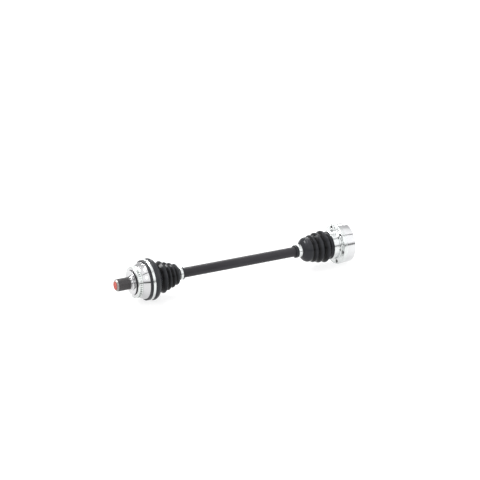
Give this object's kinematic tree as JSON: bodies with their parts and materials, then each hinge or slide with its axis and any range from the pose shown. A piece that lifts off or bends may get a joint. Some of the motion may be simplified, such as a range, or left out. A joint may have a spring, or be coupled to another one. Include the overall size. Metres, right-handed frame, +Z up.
{
  "type": "drive axle with constant-velocity joints",
  "caption": "Drive axle: a black bar with a booted constant-velocity joint at each end, a splined stub for the wheel hub and a bolted flange joint for the gearbox.",
  "frame": {"origin": "middle of the axle's overall length, on its axis of rotation", "axes": "+X along the axle towards the bolted gearbox joint, the splined hub stub points to -X, +Z up"},
  "size_m": [0.7068, 0.1102, 0.1102],
  "materials": {
    "satin_black": "satin black paint",
    "polished_steel": "ground and polished",
    "plated_steel": "bright zinc plate",
    "band_steel": "bright stainless strip",
    "bearing_steel": "ground, oiled",
    "phosphated_steel": "phosphated, oiled",
    "boot_rubber": "moulded, semi-gloss",
    "ring_plastic": "matt",
    "plug_plastic": "moulded, satin"
  },
  "bodies": {
    "bar": {"bar": "satin_black", "outer_star": "bearing_steel", "outer_circlip": "phosphated_steel", "outer_dished_washer": "phosphated_steel", "outer_stop_ring": "ring_plastic", "outer_boot_small_band": "band_steel", "inner_star": "bearing_steel", "inner_circlip": "phosphated_steel", "inner_dished_washer": "phosphated_steel", "inner_boot_small_band": "band_steel"},
    "hub_end": {"outer_race": "polished_steel", "tone_ring": "plated_steel", "stub_plug": "plug_plastic", "outer_boot": "boot_rubber", "outer_boot_large_band": "band_steel"},
    "outer_cage": {"outer_cage": "phosphated_steel", "outer_ball_1": "bearing_steel", "outer_ball_2": "bearing_steel", "outer_ball_3": "bearing_steel", "outer_ball_4": "bearing_steel", "outer_ball_5": "bearing_steel", "outer_ball_6": "bearing_steel"},
    "inner_cage": {"inner_cage": "phosphated_steel", "inner_ball_1": "bearing_steel", "inner_ball_2": "bearing_steel", "inner_ball_3": "bearing_steel", "inner_ball_4": "bearing_steel", "inner_ball_5": "bearing_steel", "inner_ball_6": "bearing_steel"},
    "gearbox_end": {"inner_race": "polished_steel", "boot_cap": "plated_steel", "end_cover": "plated_steel", "inner_boot": "boot_rubber"}
  },
  "joints": [
    {"name": "outer_bend", "type": "hinge", "parent": "bar", "child": "hub_end", "pos_m": [-0.2636, 0, 0], "axis": [0, 0, 1], "range_deg": [-43, 43], "deforming": ["outer_boot"]},
    {"name": "outer_cage_turn", "type": "hinge", "parent": "bar", "child": "outer_cage", "pos_m": [-0.2636, 0, 0], "axis": [0, 0, 1], "range_deg": [-22, 22]},
    {"name": "inner_bend", "type": "hinge", "parent": "bar", "child": "inner_cage", "pos_m": [0.3249, 0, 0], "axis": [0, 1, 0], "range_deg": [-18, 18]},
    {"name": "inner_plunge", "type": "slide", "parent": "inner_cage", "child": "gearbox_end", "axis": [1, 0, 0], "range_m": [-0.009, 0.009], "deforming": ["inner_boot"]}
  ],
  "couplings": [
    {"joint": "outer_cage_turn", "follows": "outer_bend", "ratio": 0.5}
  ]
}
